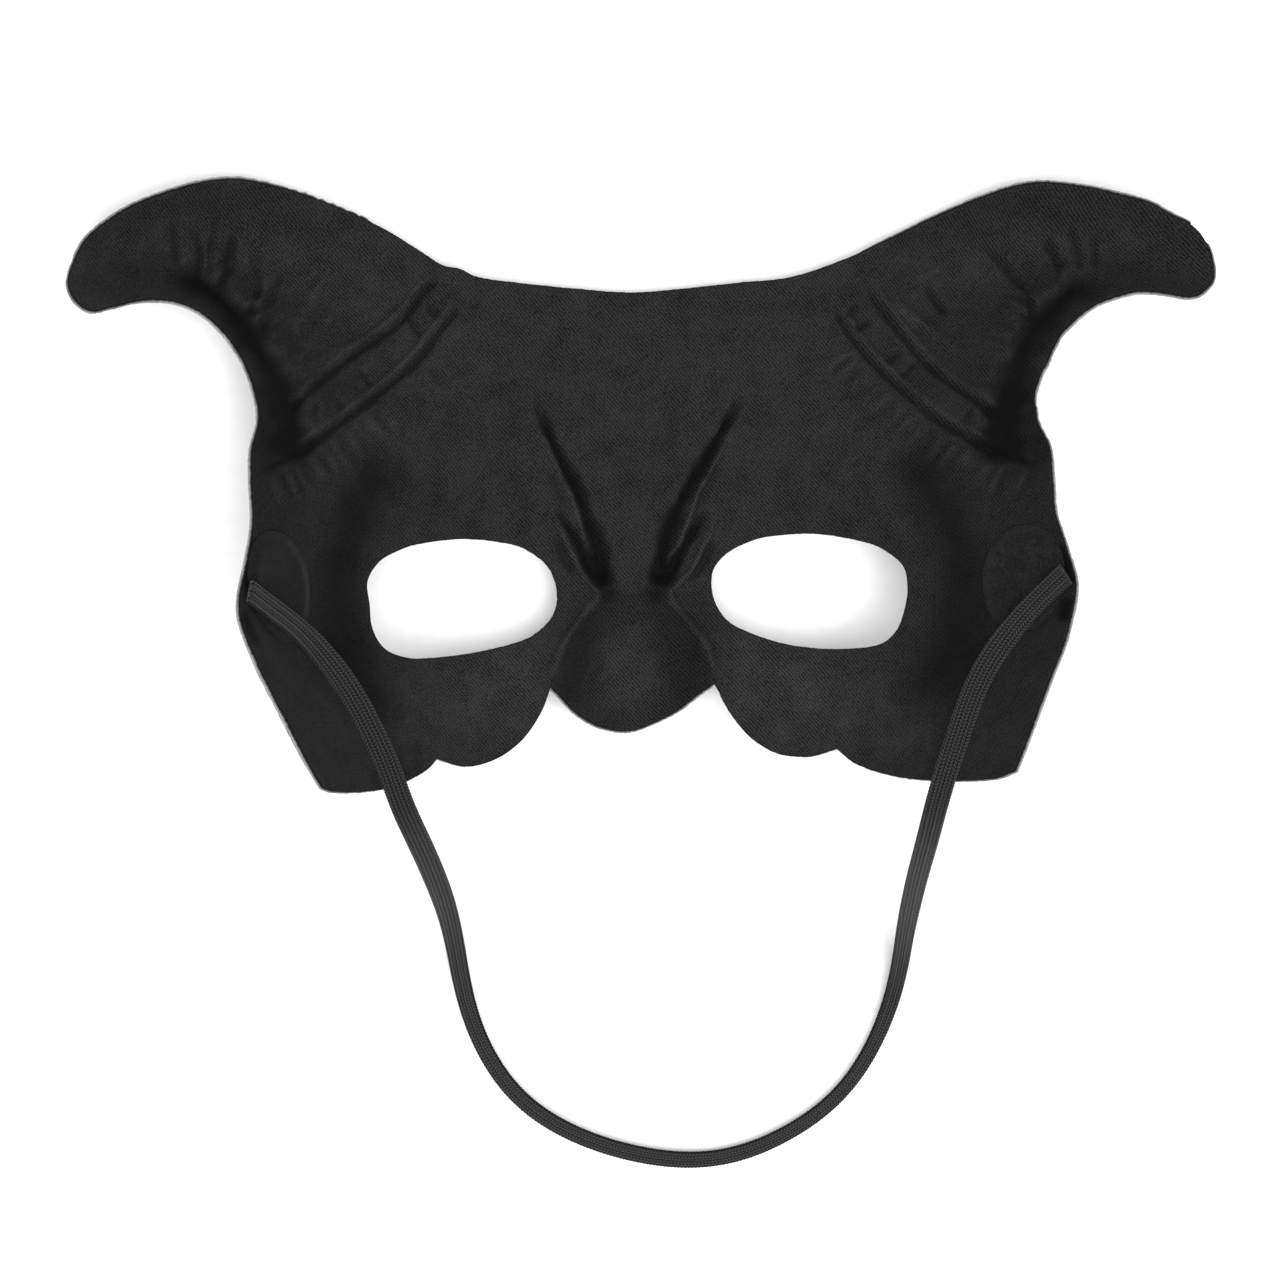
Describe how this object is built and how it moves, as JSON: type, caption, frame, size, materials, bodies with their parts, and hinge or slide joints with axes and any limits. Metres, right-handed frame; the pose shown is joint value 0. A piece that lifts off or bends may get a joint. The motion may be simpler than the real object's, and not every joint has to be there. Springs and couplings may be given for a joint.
{
  "type": "costume mask",
  "caption": "Horned half mask moulded from dark cloth-faced foam, with a bulbous nose, almond eye holes, a wrinkled brow and an elastic strap, lying on its front with the hollow up.",
  "frame": {"origin": "middle of the box around the mask without its strap, at the surface that it lies on", "axes": "+X across the face, to the wearer's right; +Y up the face, towards the brow and horns; +Z out of the hollow, towards the wearer's head"},
  "size_m": [0.2368, 0.2181, 0.0728],
  "materials": {
    "mask_cloth": "matt black twill over moulded foam",
    "tab_cloth": "matt black felted cloth",
    "braided_elastic": "flat black braided elastic"
  },
  "bodies": {
    "root": {"mask_shell": "mask_cloth", "left_strap_tab": "tab_cloth", "right_strap_tab": "tab_cloth", "elastic_strap": "braided_elastic"}
  },
  "joints": []
}
